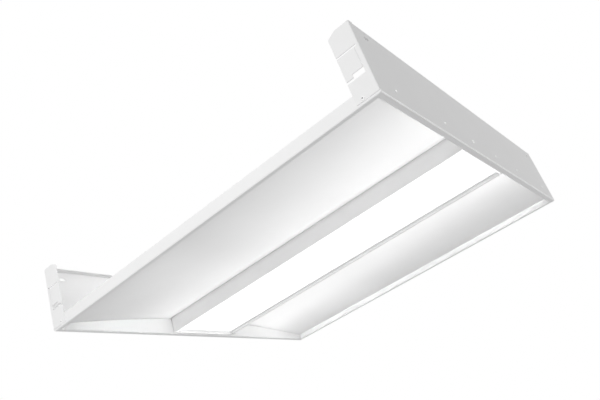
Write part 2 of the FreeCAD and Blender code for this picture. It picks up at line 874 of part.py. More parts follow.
def lead_routes():
    """The leads' routes: live, neutral, ground, light plus, light minus and the jumper between boards."""
    upper = spine_top + lead_upper_lift
    lower = spine_top + lead_lower_lift
    left = lead_start - driver_length / 2
    right = driver_length / 2 - lead_start
    inner = driver_offset + lead_inner_shift
    outer = driver_offset + lead_outer_shift
    block_left = -terminal_left_offset
    live_x = block_left + terminal_length / 2
    neutral_x = live_x - terminal_length / terminal_entries
    ground_y = terminal_near_offset + terminal_width / 2
    ground = ground_screw_seat()
    below = lead_height()
    entry = connector_face()
    grommet_x = connector_offset
    jumper_x = -connector_offset
    on_spine = spine_top + lead_radius
    screw_edge = ground.y - screw_head_radius
    return [
        [
            Vector(left, inner, upper),
            Vector(live_x, inner, upper),
            Vector(live_x, terminal_near_offset, upper),
        ],
        [
            Vector(left, outer, lower),
            Vector(neutral_x, outer, lower),
            Vector(neutral_x, terminal_near_offset, lower),
        ],
        [
            Vector(block_left, ground_y, on_spine),
            Vector(ground.x, ground_y, on_spine),
            Vector(ground.x, screw_edge, on_spine),
        ],
        [
            Vector(right, inner, upper),
            Vector(right + lead_run_out, inner, upper),
            Vector(grommet_x, lead_spread, upper),
            Vector(grommet_x, lead_spread, below),
            Vector(grommet_x, entry, below),
        ],
        [
            Vector(right, outer, lower),
            Vector(right + lead_run_out, outer, lower),
            Vector(grommet_x, -lead_spread, lower),
            Vector(grommet_x, -lead_spread, below),
            Vector(grommet_x, -entry, below),
        ],
        [
            Vector(jumper_x, -entry, below),
            Vector(jumper_x, -entry / 2, below),
            Vector(jumper_x - lead_bow, 0, below),
            Vector(jumper_x, entry / 2, below),
            Vector(jumper_x, entry, below),
        ],
    ]


def lead(index):
    """One of the leads, from one connection to the other."""
    return wire_along(lead_routes()[index], lead_radius, lead_bend)


def basket_skin(face):
    """Section of a basket member: top flange, wall, hem with rounded folds, and the lens ledge."""
    fold = outside(basket_gauge, basket_bend_radius)
    return [
        (face - basket_top_flange, basket_top, 0),
        (face, basket_top, 0),
        (face, basket_bottom, fold),
        (face - hem_width, basket_bottom, fold),
        (face - hem_width, ledge_bottom, 0),
        (face - hem_width - lens_ledge_width, ledge_bottom, 0),
    ]


def far_rail():
    """Long member of the basket, mitred at both ends."""
    travel = X_AXIS * (2 * basket_end)
    rail = folded_sheet(basket_skin(basket_face), basket_gauge, cross_section(-basket_end), travel)
    depth = 2 * basket_top_flange
    mitre = prism(
        [
            Vector(basket_end, basket_face, 0),
            Vector(basket_end + depth, basket_face + depth, 0),
            Vector(basket_end + depth, basket_face - depth, 0),
            Vector(basket_end - depth, basket_face - depth, 0),
        ],
        Z_AXIS * housing_height,
    )
    return rail.cut([mitre, across(mitre, X_AXIS)])


def hinge_notches():
    """Cut-outs in the far rail where the hinges come through."""
    half = hinge_ear_offset + hinge_ear_gauge + hinge_notch_margin
    bottom = hinge_axis_height - hinge_ear_radius - hinge_notch_drop
    inner = basket_face - 2 * basket_top_flange
    cutters = []
    for along in hinge_centres:
        low = Vector(along - half, inner, bottom)
        high = Vector(along + half, basket_face + basket_gauge, basket_top + basket_gauge)
        cutters.append(box(low, high))
    return cutters


def right_basket_end():
    """Short member of the basket, mitred to meet the rails."""
    travel = Y_AXIS * (2 * basket_face)
    member = folded_sheet(basket_skin(basket_end), basket_gauge, long_section(-basket_face), travel)
    depth = 2 * basket_top_flange
    mitre = prism(
        [
            Vector(basket_end, basket_face, 0),
            Vector(basket_end + depth, basket_face + depth, 0),
            Vector(basket_end - depth, basket_face + depth, 0),
            Vector(basket_end - depth, basket_face - depth, 0),
        ],
        Z_AXIS * housing_height,
    )
    return member.cut([mitre, across(mitre, Y_AXIS)])


def lens():
    """The frosted sheet that lies on the basket's ledges, its upper corners clear of the angles."""
    half_length = basket_end - basket_gauge - lens_edge_gap
    half_width = rail_inner_face - lens_edge_gap
    return box(Vector(-half_length, -half_width, ledge_top), Vector(half_length, half_width, lens_top))


def square_angle(corner, first_leg, second_leg, gauge, travel):
    """A sharp-cornered angle: two legs that start from its outer corner, swept along a vector."""
    first_step = first_leg * (gauge / first_leg.Length)
    second_step = second_leg * (gauge / second_leg.Length)
    outline = [
        corner,
        corner + first_leg,
        corner + first_leg + second_step,
        corner + first_step + second_step,
        corner + first_step + second_leg,
        corner + second_leg,
    ]
    return prism(outline, travel)


def corner_angles():
    """Angles welded inside the basket's corners."""
    corner = Vector(basket_end - basket_gauge, rail_inner_face, lens_top + corner_angle_lift)
    legs = (X_AXIS * -corner_angle_leg, Y_AXIS * -corner_angle_leg)
    angle = square_angle(corner, legs[0], legs[1], basket_gauge, Z_AXIS * corner_angle_height)
    half = [angle, across(angle, X_AXIS)]
    return Part.makeCompound(half + [across(shape, Y_AXIS) for shape in half])


def lens_clip():
    """A spring angle that holds the lens down on the far rail's ledge."""
    corner = Vector(-lens_clip_width / 2, rail_inner_face, lens_top)
    legs = (Y_AXIS * -lens_clip_leg, Z_AXIS * lens_clip_height)
    return square_angle(corner, legs[0], legs[1], catch_gauge, X_AXIS * lens_clip_width)


def lens_clips():
    """Two lens clips on each rail."""
    far = [lens_clip().translated(X_AXIS * (end * lens_clip_offset)) for end in (-1, 1)]
    return Part.makeCompound(far + [across(shape, Y_AXIS) for shape in far])


def hinge_leaf(along):
    """The door's half of a hinge: a leaf on the far rail, rolled into an eye round the pin."""
    start = along - hinge_eye_width / 2
    eye_bottom = hinge_axis_height - hinge_eye_radius
    leaf_face = rail_inner_face - basket_gauge
    web = box(
        Vector(start, hinge_axis_y, eye_bottom),
        Vector(start + hinge_eye_width, rail_inner_face, eye_bottom + basket_gauge),
    )
    leaf = box(
        Vector(start, leaf_face, eye_bottom - hinge_leaf_height),
        Vector(start + hinge_eye_width, rail_inner_face, eye_bottom + basket_gauge),
    )
    centre = Vector(start, hinge_axis_y, hinge_axis_height)
    eye = rod(centre, X_AXIS, hinge_eye_radius, hinge_eye_width)
    bore = rod(centre, X_AXIS, hinge_bore_radius, hinge_eye_width)
    return leaf.fuse([web, eye]).cut(bore).removeSplitter()


def hinge_bracket(along):
    """The housing's half of a hinge: a plate on the upstand with two eight-cornered ears for the pin."""
    plate_inner = upstand_face - hinge_ear_gauge
    half = hinge_ear_offset + hinge_ear_gauge
    plate = box(
        Vector(along - half, plate_inner, hinge_plate_bottom),
        Vector(along + half, upstand_face, hinge_plate_bottom + hinge_plate_height),
    )
    pieces = []
    for hand in (-1, 1):
        inner = hand * hinge_ear_offset
        outer = hand * half
        start = along + min(inner, outer)
        centre = Vector(start, hinge_axis_y, hinge_axis_height)
        outline = [
            Vector(start, hinge_axis_y + hinge_ear_radius, basket_top),
            Vector(start, upstand_face, hinge_plate_bottom),
            Vector(start, upstand_face, hinge_plate_bottom + hinge_plate_height),
            Vector(start, hinge_axis_y, hinge_plate_middle),
        ]
        for step in range(5):
            angle = math.pi * (7 + 2 * step) / 8
            outline.append(centre + Vector(0, math.cos(angle), math.sin(angle)) * hinge_ear_radius)
        ear = prism(outline, X_AXIS * hinge_ear_gauge)
        pieces.append(ear.cut(rod(centre, X_AXIS, hinge_pin_radius, hinge_ear_gauge)))
    bracket = plate.fuse(pieces)
    return bracket.cut(hole(hinge_rivet_seat(along), Y_AXIS, rivet_radius + hole_clearance)).removeSplitter()


def hinge_rivet_seat(along):
    """Where a hinge bracket is riveted to the upstand."""
    return Vector(along, upstand_face - hinge_ear_gauge, hinge_plate_middle)


def hinge_pin(along):
    """A straight pin, pressed flush into both ears."""
    half = hinge_ear_offset + hinge_ear_gauge
    return rod(Vector(along - half, hinge_axis_y, hinge_axis_height), X_AXIS, hinge_pin_radius, 2 * half)


def catch_spring(along):
    """A spring leaf on the near upstand whose bead presses beside the near rail's flange."""
    flange_edge = basket_face - basket_top_flange
    tip = flange_edge - catch_clearance
    bottom = basket_top - catch_drop
    bridge = basket_top + hinge_plate_lift
    skin = [
        (upstand_face, bridge + hinge_plate_height, 0),
        (upstand_face, bridge, 0),
        (tip - catch_gauge, bridge, outside(catch_gauge, basket_bend_radius)),
        (tip - catch_gauge, bottom, 0),
    ]
    skin = [(-side, up, radius) for side, up, radius in skin]
    travel = X_AXIS * catch_width
    leaf = folded_sheet(skin, -catch_gauge, cross_section(along - catch_width / 2), travel)
    return leaf.cut(hole(catch_rivet_seat(along), Y_AXIS, rivet_radius + hole_clearance))


def catch_rivet_seat(along):
    """Where a catch is riveted to the near upstand."""
    return Vector(along, -upstand_face + catch_gauge, hinge_plate_middle)


def plate_rivets():
    """The row of rivets between each end plate and its trim."""
    grip = plate_gauge + frame_gauge
    right = []
    for side in (-1, 1):
        for offset in plate_rivet_offsets:
            seat = Vector(plate_face, side * offset, plate_rivet_height)
            right.append(rivet(seat, X_AXIS * -1, grip))
    return Part.makeCompound(right + [across(shape, X_AXIS) for shape in right])


def tab_rivets():
    """The rivet through each corner tab and the side web behind it."""
    grip = plate_gauge + frame_gauge
    far = [rivet(corner_rivet_seat(end, 1), Y_AXIS * -1, grip) for end in (-1, 1)]
    return Part.makeCompound(far + [across(shape, Y_AXIS) for shape in far])


def wing_rivets():
    """Rivets through the wings' end tabs and the trims' walls."""
    quarter = []
    for side, height in wing_tab_seats():
        seat = Vector(lip_face - frame_gauge, side, height)
        quarter.append(rivet(seat, X_AXIS, 2 * frame_gauge))
    half = quarter + [across(shape, X_AXIS) for shape in quarter]
    return Part.makeCompound(half + [across(shape, Y_AXIS) for shape in half])


def spine_rivets():
    """Rivets between the spine and the wings, and between the spine and the trims."""
    rivets = []
    for seat in spine_rivet_seats():
        far = rivet(seat, Y_AXIS * -1, spine_gauge + frame_gauge)
        rivets += [far, across(far, Y_AXIS)]
    for side in (-1, 1):
        seat = Vector(lip_face, side * spine_tab_offset, spine_tab_rivet_height())
        right = rivet(seat, X_AXIS, frame_gauge + spine_gauge)
        rivets += [right, across(right, X_AXIS)]
    return Part.makeCompound(rivets)


def bracket_rivets():
    """Rivets that hold the hinge brackets and the catches to the wings' upstands."""
    backing = frame_gauge + spine_gauge
    rivets = []
    for along in hinge_centres:
        rivets.append(rivet(hinge_rivet_seat(along), Y_AXIS, hinge_ear_gauge + backing))
        rivets.append(rivet(catch_rivet_seat(along), Y_AXIS * -1, catch_gauge + backing))
    return Part.makeCompound(rivets)


def screws(seats, direction, grip):
    """A group of equal screws."""
    return Part.makeCompound([screw(seat, direction, grip) for seat in seats])


def build_parts():
    """Every piece by its node name."""
    wing = far_wing()
    trim = right_trim()
    plate = right_end_plate()
    clip = far_right_clip()
    rail = far_rail()
    basket_side = right_basket_end()
    parts = {
        "far_wing": wing,
        "near_wing": across(wing, Y_AXIS),
        "right_trim": trim,
        "left_trim": across(trim, X_AXIS),
        "right_end_plate": plate,
        "left_end_plate": across(plate, X_AXIS),
        "far_right_clip": clip,
        "near_right_clip": across(clip, Y_AXIS),
        "far_left_clip": across(clip, X_AXIS),
        "near_left_clip": across(across(clip, X_AXIS), Y_AXIS),
        "spine": spine(),
        "near_led_board": led_board(-board_offset),
        "far_led_board": led_board(board_offset),
        "near_leds": led_packages(-board_offset),
        "far_leds": led_packages(board_offset),
        "board_connectors": board_connectors(),
        "lead_grommet": grommet(),
        "driver_base": driver_base(),
        "driver_cover": driver_cover(),
        "driver_circuit": driver_circuit(),
        "wiring_cover": wiring_cover(),
        "terminal_block": terminal_block(),
        "far_rail": rail.cut(hinge_notches()),
        "near_rail": across(rail, Y_AXIS),
        "right_basket_end": basket_side,
        "left_basket_end": across(basket_side, X_AXIS),
        "basket_corner_angles": corner_angles(),
        "lens": lens(),
        "lens_clips": lens_clips(),
        "hinge_leaves": Part.makeCompound([hinge_leaf(along) for along in hinge_centres]),
        "hinge_brackets": Part.makeCompound([hinge_bracket(along) for along in hinge_centres]),
        "hinge_pins": Part.makeCompound([hinge_pin(along) for along in hinge_centres]),
        "catch_springs": Part.makeCompound([catch_spring(along) for along in hinge_centres]),
        "plate_rivets": plate_rivets(),
        "tab_rivets": tab_rivets(),
        "wing_rivets": wing_rivets(),
        "spine_rivets": spine_rivets(),
        "bracket_rivets": bracket_rivets(),
        "board_screws": screws(board_screw_seats(), Z_AXIS, board_thickness + spine_gauge),
        "driver_screws": screws(driver_screw_seats(), Z_AXIS * -1, plate_gauge + spine_gauge),
        "cover_screws": screws(cover_screw_seats(), Z_AXIS * -1, cover_gauge + spine_gauge),
        "ground_screw": screws([ground_screw_seat()], Z_AXIS * -1, spine_gauge),
    }
    supply_leads = ["live_lead", "neutral_lead", "ground_lead"]
    light_leads = ["led_plus_lead", "led_minus_lead", "board_jumper"]
    for index, name in enumerate(supply_leads + light_leads):
        parts[name] = lead(index)
    return parts


os.makedirs("parts", exist_ok=True)
for node, shape in build_parts().items():
    shape.exportStep(os.path.join("parts", node + ".step"))
    state = "valid" if shape.isValid() else "INVALID"
    print(node, len(shape.Solids), state, round(shape.Volume, 1))
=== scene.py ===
# %% [markdown]
# # A recessed ceiling light, dressed for its portrait
#
# The housing, the lens basket, the hinges and the grid clips come from the CAD model, which is loaded
# here as a fixed frame. This lesson gives each piece its finish, models the small fasteners and the
# electrical trim that the CAD model keeps plain, and lights the whole thing as a lamp in a white room.
# All lengths are in metres. The light opening lies on z = 0, +Z points up into the ceiling, X runs along
# the lens basket and the near side is -Y.

# %% Load the frame
import bmesh
import bpy
import math
from mathutils import Matrix, Vector


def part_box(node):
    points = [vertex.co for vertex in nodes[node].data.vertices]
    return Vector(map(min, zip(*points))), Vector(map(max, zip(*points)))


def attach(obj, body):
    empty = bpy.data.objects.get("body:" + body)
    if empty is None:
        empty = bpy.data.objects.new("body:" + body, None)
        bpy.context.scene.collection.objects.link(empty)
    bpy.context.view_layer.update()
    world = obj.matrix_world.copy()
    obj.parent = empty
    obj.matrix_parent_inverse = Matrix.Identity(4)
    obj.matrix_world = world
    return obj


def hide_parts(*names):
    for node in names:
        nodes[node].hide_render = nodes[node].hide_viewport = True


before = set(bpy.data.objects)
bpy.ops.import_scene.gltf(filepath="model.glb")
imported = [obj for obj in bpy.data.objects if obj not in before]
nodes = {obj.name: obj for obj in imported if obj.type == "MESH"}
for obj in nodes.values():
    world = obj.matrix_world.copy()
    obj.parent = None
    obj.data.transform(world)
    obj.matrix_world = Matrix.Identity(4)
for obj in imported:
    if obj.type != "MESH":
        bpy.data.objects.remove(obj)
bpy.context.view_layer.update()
print("CAD nodes:", len(nodes))

# %% [markdown]
# ## Camera
#
# The photograph looks up at the light from below and to the right. The camera was worked out from the
# four corners of the rim, so it is given by its place and by its three axes, which become the columns of
# its matrix. A small lens shift puts the middle of the picture where the photograph has it.

# %% Camera
camera_place = Vector((0.48417, -0.85398, -0.36710))
camera_right = Vector((0.73140, 0.61058, -0.30369))
camera_up = Vector((0.49384, -0.16713, 0.85334))
camera_back = camera_right.cross(camera_up).normalized()
camera_up = camera_back.cross(camera_right).normalized()
turn = Matrix((camera_right, camera_up, camera_back)).transposed()
camera_data = bpy.data.cameras.new("portrait_camera")
camera_data.sensor_width = 36.0
camera_data.lens = 38.993
camera_data.shift_x = 0.0140
camera_data.shift_y = 0.0299
camera_data.clip_start = 0.01
camera_data.clip_end = 100.0
camera = bpy.data.objects.new("portrait_camera", camera_data)
camera.matrix_world = Matrix.Translation(camera_place) @ turn.to_4x4()
bpy.context.scene.collection.objects.link(camera)
bpy.context.scene.camera = camera
print("camera looks along", tuple(round(v, 3) for v in -camera_back))

# %% [markdown]
# ## White room
#
# The photograph has a plain white background. The world shows white to the camera, in glossy surfaces
# and through clear ones, and lights everything else more softly, so that pale enamel keeps its grey
# tones. That split is made with the Light Path node. The soft light comes from above and fades out below
# the horizon: the rim that faces the floor is the darkest part, and the inner faces that catch the light
# from above are paler than the same faces outside. The Standard transform keeps the colours as they are
# written.

# %% World
light_below, light_above = 0.0, 0.658
horizon_band = 0.25
world = bpy.data.worlds.new("white_room")
world.use_nodes = True
bpy.context.scene.world = world
tree = world.node_tree
tree.nodes.clear()
path = tree.nodes.new("ShaderNodeLightPath")
sees = tree.nodes.new("ShaderNodeMath")
sees.operation = "MAXIMUM"
sees_through = tree.nodes.new("ShaderNodeMath")
sees_through.operation = "MAXIMUM"
shown = tree.nodes.new("ShaderNodeBackground")
shown.inputs["Color"].default_value = (1.0, 1.0, 1.0, 1.0)
soft = tree.nodes.new("ShaderNodeBackground")
sky_place = tree.nodes.new("ShaderNodeTexCoord")
sky_axes = tree.nodes.new("ShaderNodeSeparateXYZ")
sky_height = tree.nodes.new("ShaderNodeMapRange")
sky_height.inputs["From Min"].default_value = -horizon_band
sky_height.inputs["From Max"].default_value = horizon_band
sky_height.inputs["To Min"].default_value = light_below
sky_height.inputs["To Max"].default_value = light_above
tree.links.new(sky_place.outputs["Generated"], sky_axes.inputs["Vector"])
tree.links.new(sky_axes.outputs["Z"], sky_height.inputs["Value"])
tree.links.new(sky_height.outputs["Result"], soft.inputs["Color"])
choose = tree.nodes.new("ShaderNodeMixShader")
out = tree.nodes.new("ShaderNodeOutputWorld")
tree.links.new(path.outputs["Is Camera Ray"], sees.inputs[0])
tree.links.new(path.outputs["Is Glossy Ray"], sees.inputs[1])
tree.links.new(sees.outputs[0], sees_through.inputs[0])
tree.links.new(path.outputs["Is Transmission Ray"], sees_through.inputs[1])
tree.links.new(sees_through.outputs[0], choose.inputs["Fac"])
tree.links.new(soft.outputs[0], choose.inputs[1])
tree.links.new(shown.outputs[0], choose.inputs[2])
tree.links.new(choose.outputs[0], out.inputs["Surface"])
bpy.context.scene.view_settings.view_transform = "Standard"
print("room light below and above:", light_below, light_above)

# %% [markdown]
# ## Floor
#
# The light hangs in a ceiling, so the floor lies well below it, and below every camera that looks up at
# it. It is a pale painted floor with a faint unevenness. To the camera it is almost as white as the
# background, and it still takes the light's soft shadow.

# %% Floor
floor_level, floor_size = -2.0, 40.0
bpy.ops.object.select_all(action="DESELECT")
bpy.ops.mesh.primitive_plane_add(size=floor_size, location=(0.0, 0.0, floor_level))
floor = bpy.context.active_object
floor.name = "pale_floor"
print("floor at", floor_level)

# %% [markdown]
# The paint's own tone comes from a slow noise. A glow that only the camera and glossy surfaces see lifts
# it towards the white of the background, so that no extra light falls on the object.

# %% Floor paint
white = (1.0, 1.0, 1.0, 1.0)
floor_glow = 0.42
floor_paint = bpy.data.materials.new("pale_floor_paint")
floor_paint.use_nodes = True
tree = floor_paint.node_tree
shader = tree.nodes["Principled BSDF"]
shader.inputs["Roughness"].default_value = 0.9
shader.inputs["Specular IOR Level"].default_value = 0.0
place = tree.nodes.new("ShaderNodeTexCoord")
cloud = tree.nodes.new("ShaderNodeTexNoise")
cloud.inputs["Scale"].default_value = 0.6
tone = tree.nodes.new("ShaderNodeValToRGB")
tone.color_ramp.elements[0].color = (0.79, 0.79, 0.79, 1.0)
tone.color_ramp.elements[1].color = (0.83, 0.83, 0.83, 1.0)
tree.links.new(place.outputs["Object"], cloud.inputs["Vector"])
tree.links.new(cloud.outputs["Fac"], tone.inputs["Fac"])
path = tree.nodes.new("ShaderNodeLightPath")
lift = tree.nodes.new("ShaderNodeMixRGB")
lift.inputs["Color2"].default_value = white
tree.links.new(path.outputs["Is Camera Ray"], lift.inputs["Fac"])
tree.links.new(tone.outputs["Color"], lift.inputs["Color1"])
tree.links.new(lift.outputs["Color"], shader.inputs["Base Color"])
glow = tree.nodes.new("ShaderNodeEmission")
glow.inputs["Strength"].default_value = floor_glow
add = tree.nodes.new("ShaderNodeAddShader")
only_seen = tree.nodes.new("ShaderNodeMixShader")
sees = tree.nodes.new("ShaderNodeMath")
sees.operation = "MAXIMUM"
tree.links.new(path.outputs["Is Camera Ray"], sees.inputs[0])
tree.links.new(path.outputs["Is Glossy Ray"], sees.inputs[1])
tree.links.new(shader.outputs[0], add.inputs[0])
tree.links.new(glow.outputs[0], add.inputs[1])
tree.links.new(sees.outputs[0], only_seen.inputs["Fac"])
tree.links.new(shader.outputs[0], only_seen.inputs[1])
tree.links.new(add.outputs[0], only_seen.inputs[2])
tree.links.new(only_seen.outputs[0], tree.nodes["Material Output"].inputs["Surface"])
floor.data.materials.append(floor_paint)
print(floor_paint.name, "on", floor.name)

# %% [markdown]
# ## Lamps
#
# None of the lamps is seen by the camera or mirrored in the metal. Two soft lamps in front of the near
# side make that side the palest outer face, as in the photograph. A low lamp above the housing brightens
# the inner face of the left end plate, and one at the far right gives the right end plate its slow
# gradient.

# %% Studio lamps
def soft_lamp(name, place, target, width, depth, power, spread):
    """An area lamp that neither the camera nor a glossy surface shows."""
    data = bpy.data.lights.new(name, "AREA")
    data.shape = "RECTANGLE"
    data.size = width
    data.size_y = depth
    data.energy = power
    data.spread = math.radians(spread)
    lamp = bpy.data.objects.new(name, data)
    lamp.location = place
    lamp.rotation_mode = "QUATERNION"
    lamp.rotation_quaternion = (Vector(target) - Vector(place)).to_track_quat("-Z", "Y")
    lamp.visible_camera = False
    lamp.visible_glossy = False
    bpy.context.scene.collection.objects.link(lamp)
    print(name, tuple(round(v, 3) for v in place), power, "W")
    return lamp


studio_lamps = (
    # name, place, what it looks at, width, depth, power, spread
    ("front_lamp", (0.10, -1.30, 0.05), (0.0, -0.3, 0.05), 0.6, 0.5, 2.38, 180.0),
    ("front_left_lamp", (-0.10, -1.30, 0.05), (-0.05, -0.3, 0.05), 0.5, 0.5, 2.47, 180.0),
    ("top_lamp", (0.15, -0.20, 0.118), (-0.3, -0.2, 0.085), 0.25, 0.02, 0.0845, 60.0),
    ("far_lamp", (0.9, 0.7, 0.15), (0.3, 0.2, 0.05), 0.3, 0.3, 0.142, 180.0),
)
for settings in studio_lamps:
    soft_lamp(*settings)

# %% [markdown]
# ## The light's own glow
#
# In the photograph the lens and the frame around it are an even white, the wings are white beside the
# basket and fade to grey at the rim, and the rim's flat face, which only the room lights, is the darkest
# part. So the glow is stood for by lamps that lie inside the opening, above the rim's face, where they
# can't reach the rim. One lies against the lens and swings with it, as its child, so that the light
# boards aren't flooded when the basket is open. A broad one lies under each wing, with a gradient filter
# made of nodes: its strengths are given at four places from the basket to the rim, for the left end and
# for the right end. These lamps shine almost straight up, so they leave the basket's upright walls in
# even shade. A narrow beam reaches each half of the inner wall at the left end, and another the far lip.

# %% Gradient filter for the wing lamps
opening_half = 0.2875
wing_inner, wing_outer = 0.077, 0.291


def filtered(lamp, side, left, right):
    """Gives a lamp under a wing strengths that change along it and from the basket to the rim."""
    lamp.data.use_nodes = True
    tree = lamp.data.node_tree
    spot = tree.nodes.new("ShaderNodeNewGeometry")
    axes = tree.nodes.new("ShaderNodeSeparateXYZ")
    tree.links.new(spot.outputs["Position"], axes.inputs["Vector"])
    shares = []
    for axis, low, high in (("X", -opening_half, opening_half),
                            ("Y", side * wing_inner, side * wing_outer)):
        share = tree.nodes.new("ShaderNodeMapRange")
        share.inputs["From Min"].default_value = low
        share.inputs["From Max"].default_value = high
        tree.links.new(axes.outputs[axis], share.inputs["Value"])
        shares.append(share)
    blend = tree.nodes.new("ShaderNodeMixRGB")
    tree.links.new(shares[0].outputs["Result"], blend.inputs["Fac"])
    for strengths, socket in ((left, "Color1"), (right, "Color2")):
        ramp = tree.nodes.new("ShaderNodeValToRGB")
        stops = ramp.color_ramp.elements
        for position in (0.2, 0.5):
            stops.new(position)
        for stop, strength in zip(stops, strengths):
            stop.color = (strength, strength, strength, 1.0)
        tree.links.new(shares[1].outputs["Result"], ramp.inputs["Fac"])
        tree.links.new(ramp.outputs["Color"], blend.inputs[socket])
    tree.links.new(blend.outputs["Color"], tree.nodes["Emission"].inputs["Color"])


# %% Glow lamps
up = 0.5
steep, narrow, thin = 50.0, 24.0, 10.0
lens_glow = soft_lamp("lens_glow", (0.0, -0.0033, 0.0012), (0.0, -0.0032, up),
                      0.5854, 0.1386, 0.182, steep)
lens_glow.parent = bpy.data.objects["lens"]
wing_power = 0.2
wing_strengths = {
    -1: ((0.95, 0.60, 0.223, 0.000), (1.15, 1.149, 0.968, 0.415)),
    1: ((0.9, 0.883, 1.085, 0.000), (1.2, 1.320, 0.620, 0.000)),
}
for side, (left, right) in wing_strengths.items():
    middle = side * (wing_inner + wing_outer) / 2
    wing_glow = soft_lamp("wing_glow", (0.0, middle, 0.001), (0.0, middle + 0.0001, up),
                          2 * opening_half, wing_outer - wing_inner, wing_power, steep)
    filtered(wing_glow, side, left, right)
for side, power in ((-1, 0.0250), (1, 0.0190)):
    across = side * 0.18
    soft_lamp("wall_beam", (0.10, across, -0.03), (-0.293, across, 0.010), 0.20, 0.01, power, narrow)
soft_lamp("lip_beam", (0.0, 0.10, 0.0015), (0.0, 0.294, 0.006), 2 * opening_half, 0.002, 0.0150, thin)

# %% [markdown]
# ## Finishes
#
# Every finish is built from nodes that read Object coordinates, so it sits still on its piece from any
# side. A small helper makes the parts that they share: a noise in real size, a colour ramp for slight
# unevenness, a second ramp for gloss, and a bump for the surface's grain. Values that are the same all
# over go straight on to the shader's own sockets.

# %% Helper for finishes
def grey(level):
    """A neutral colour."""
    return (level, level, level)


def finish(name, dark, pale, mottle, gloss, grain, metal=0.0):
    """A finish in Object coordinates: uneven colour and gloss, and a grain of a size and a depth."""
    grain_size, grain_depth = grain
    made = bpy.data.materials.new(name)
    made.use_nodes = True
    tree = made.node_tree
    shader = tree.nodes["Principled BSDF"]
    shader.inputs["Metallic"].default_value = metal
    place = tree.nodes.new("ShaderNodeTexCoord")
    cloud = tree.nodes.new("ShaderNodeTexNoise")
    cloud.inputs["Scale"].default_value = 1.0 / mottle
    cloud.inputs["Detail"].default_value = 4.0
    tone = tree.nodes.new("ShaderNodeValToRGB")
    tone.color_ramp.elements[0].position = 0.3
    tone.color_ramp.elements[1].position = 0.7
    tone.color_ramp.elements[0].color = (*dark, 1.0)
    tone.color_ramp.elements[1].color = (*pale, 1.0)
    rough = tree.nodes.new("ShaderNodeMapRange")
    rough.inputs["To Min"].default_value, rough.inputs["To Max"].default_value = gloss
    ripple = tree.nodes.new("ShaderNodeTexNoise")
    ripple.inputs["Scale"].default_value = 1.0 / grain_size
    ripple.inputs["Detail"].default_value = 2.0
    bump = tree.nodes.new("ShaderNodeBump")
    bump.inputs["Strength"].default_value = 0.35
    bump.inputs["Distance"].default_value = grain_depth
    tree.links.new(place.outputs["Object"], cloud.inputs["Vector"])
    tree.links.new(place.outputs["Object"], ripple.inputs["Vector"])
    tree.links.new(cloud.outputs["Fac"], tone.inputs["Fac"])
    tree.links.new(cloud.outputs["Fac"], rough.inputs["Value"])
    tree.links.new(tone.outputs["Color"], shader.inputs["Base Color"])
    tree.links.new(rough.outputs["Result"], shader.inputs["Roughness"])
    tree.links.new(ripple.outputs["Fac"], bump.inputs["Height"])
    tree.links.new(bump.outputs["Normal"], shader.inputs["Normal"])
    return made


def paint(material, *names):
    """Gives CAD nodes a finish."""
    for name in names:
        node = nodes[name]
        node.data.materials.clear()
        node.data.materials.append(material)
    print(material.name, "on", len(names), "nodes")


# %% [markdown]
# ### White enamel
#
# The sheet steel is sprayed with a powder enamel and baked, which leaves a satin white with the faint
# orange-peel ripple that powder has, about a millimetre from crest to crest. The colour wanders by less
# than a percent. The wings are reflectors, so their coat is the mattest; the basket has the same coat.

# %% White enamel
white_enamel = finish("white_enamel", grey(0.85), grey(0.88), mottle=0.09,
                      gloss=(0.36, 0.46), grain=(0.0011, 0.00003))
reflector_enamel = finish("reflector_enamel", grey(0.865), grey(0.895), mottle=0.12,
                          gloss=(0.52, 0.60), grain=(0.0011, 0.00003))
paint(white_enamel, "right_end_plate", "left_end_plate", "far_right_clip", "near_right_clip",
      "far_left_clip", "near_left_clip", "spine", "wiring_cover")
paint(reflector_enamel, "far_wing", "near_wing", "right_trim", "left_trim",
      "far_rail", "near_rail", "right_basket_end", "left_basket_end")

# %% [markdown]
# The rim's outer fold carries a painted highlight: a fine, slightly uneven bright line, made by turning
# the
# enamel metallic there so that it mirrors the white room. It is a mask made from the Object coordinates:
# close to the outer edge and within two millimetres of the face that rests on the grid.

# %% Painted highlight along the rim's outer fold
highlight_band, highlight_core = 0.0014, 0.0009
rise_fade = 0.0004
patches_per_metre = 60.0
least_highlight = 0.7


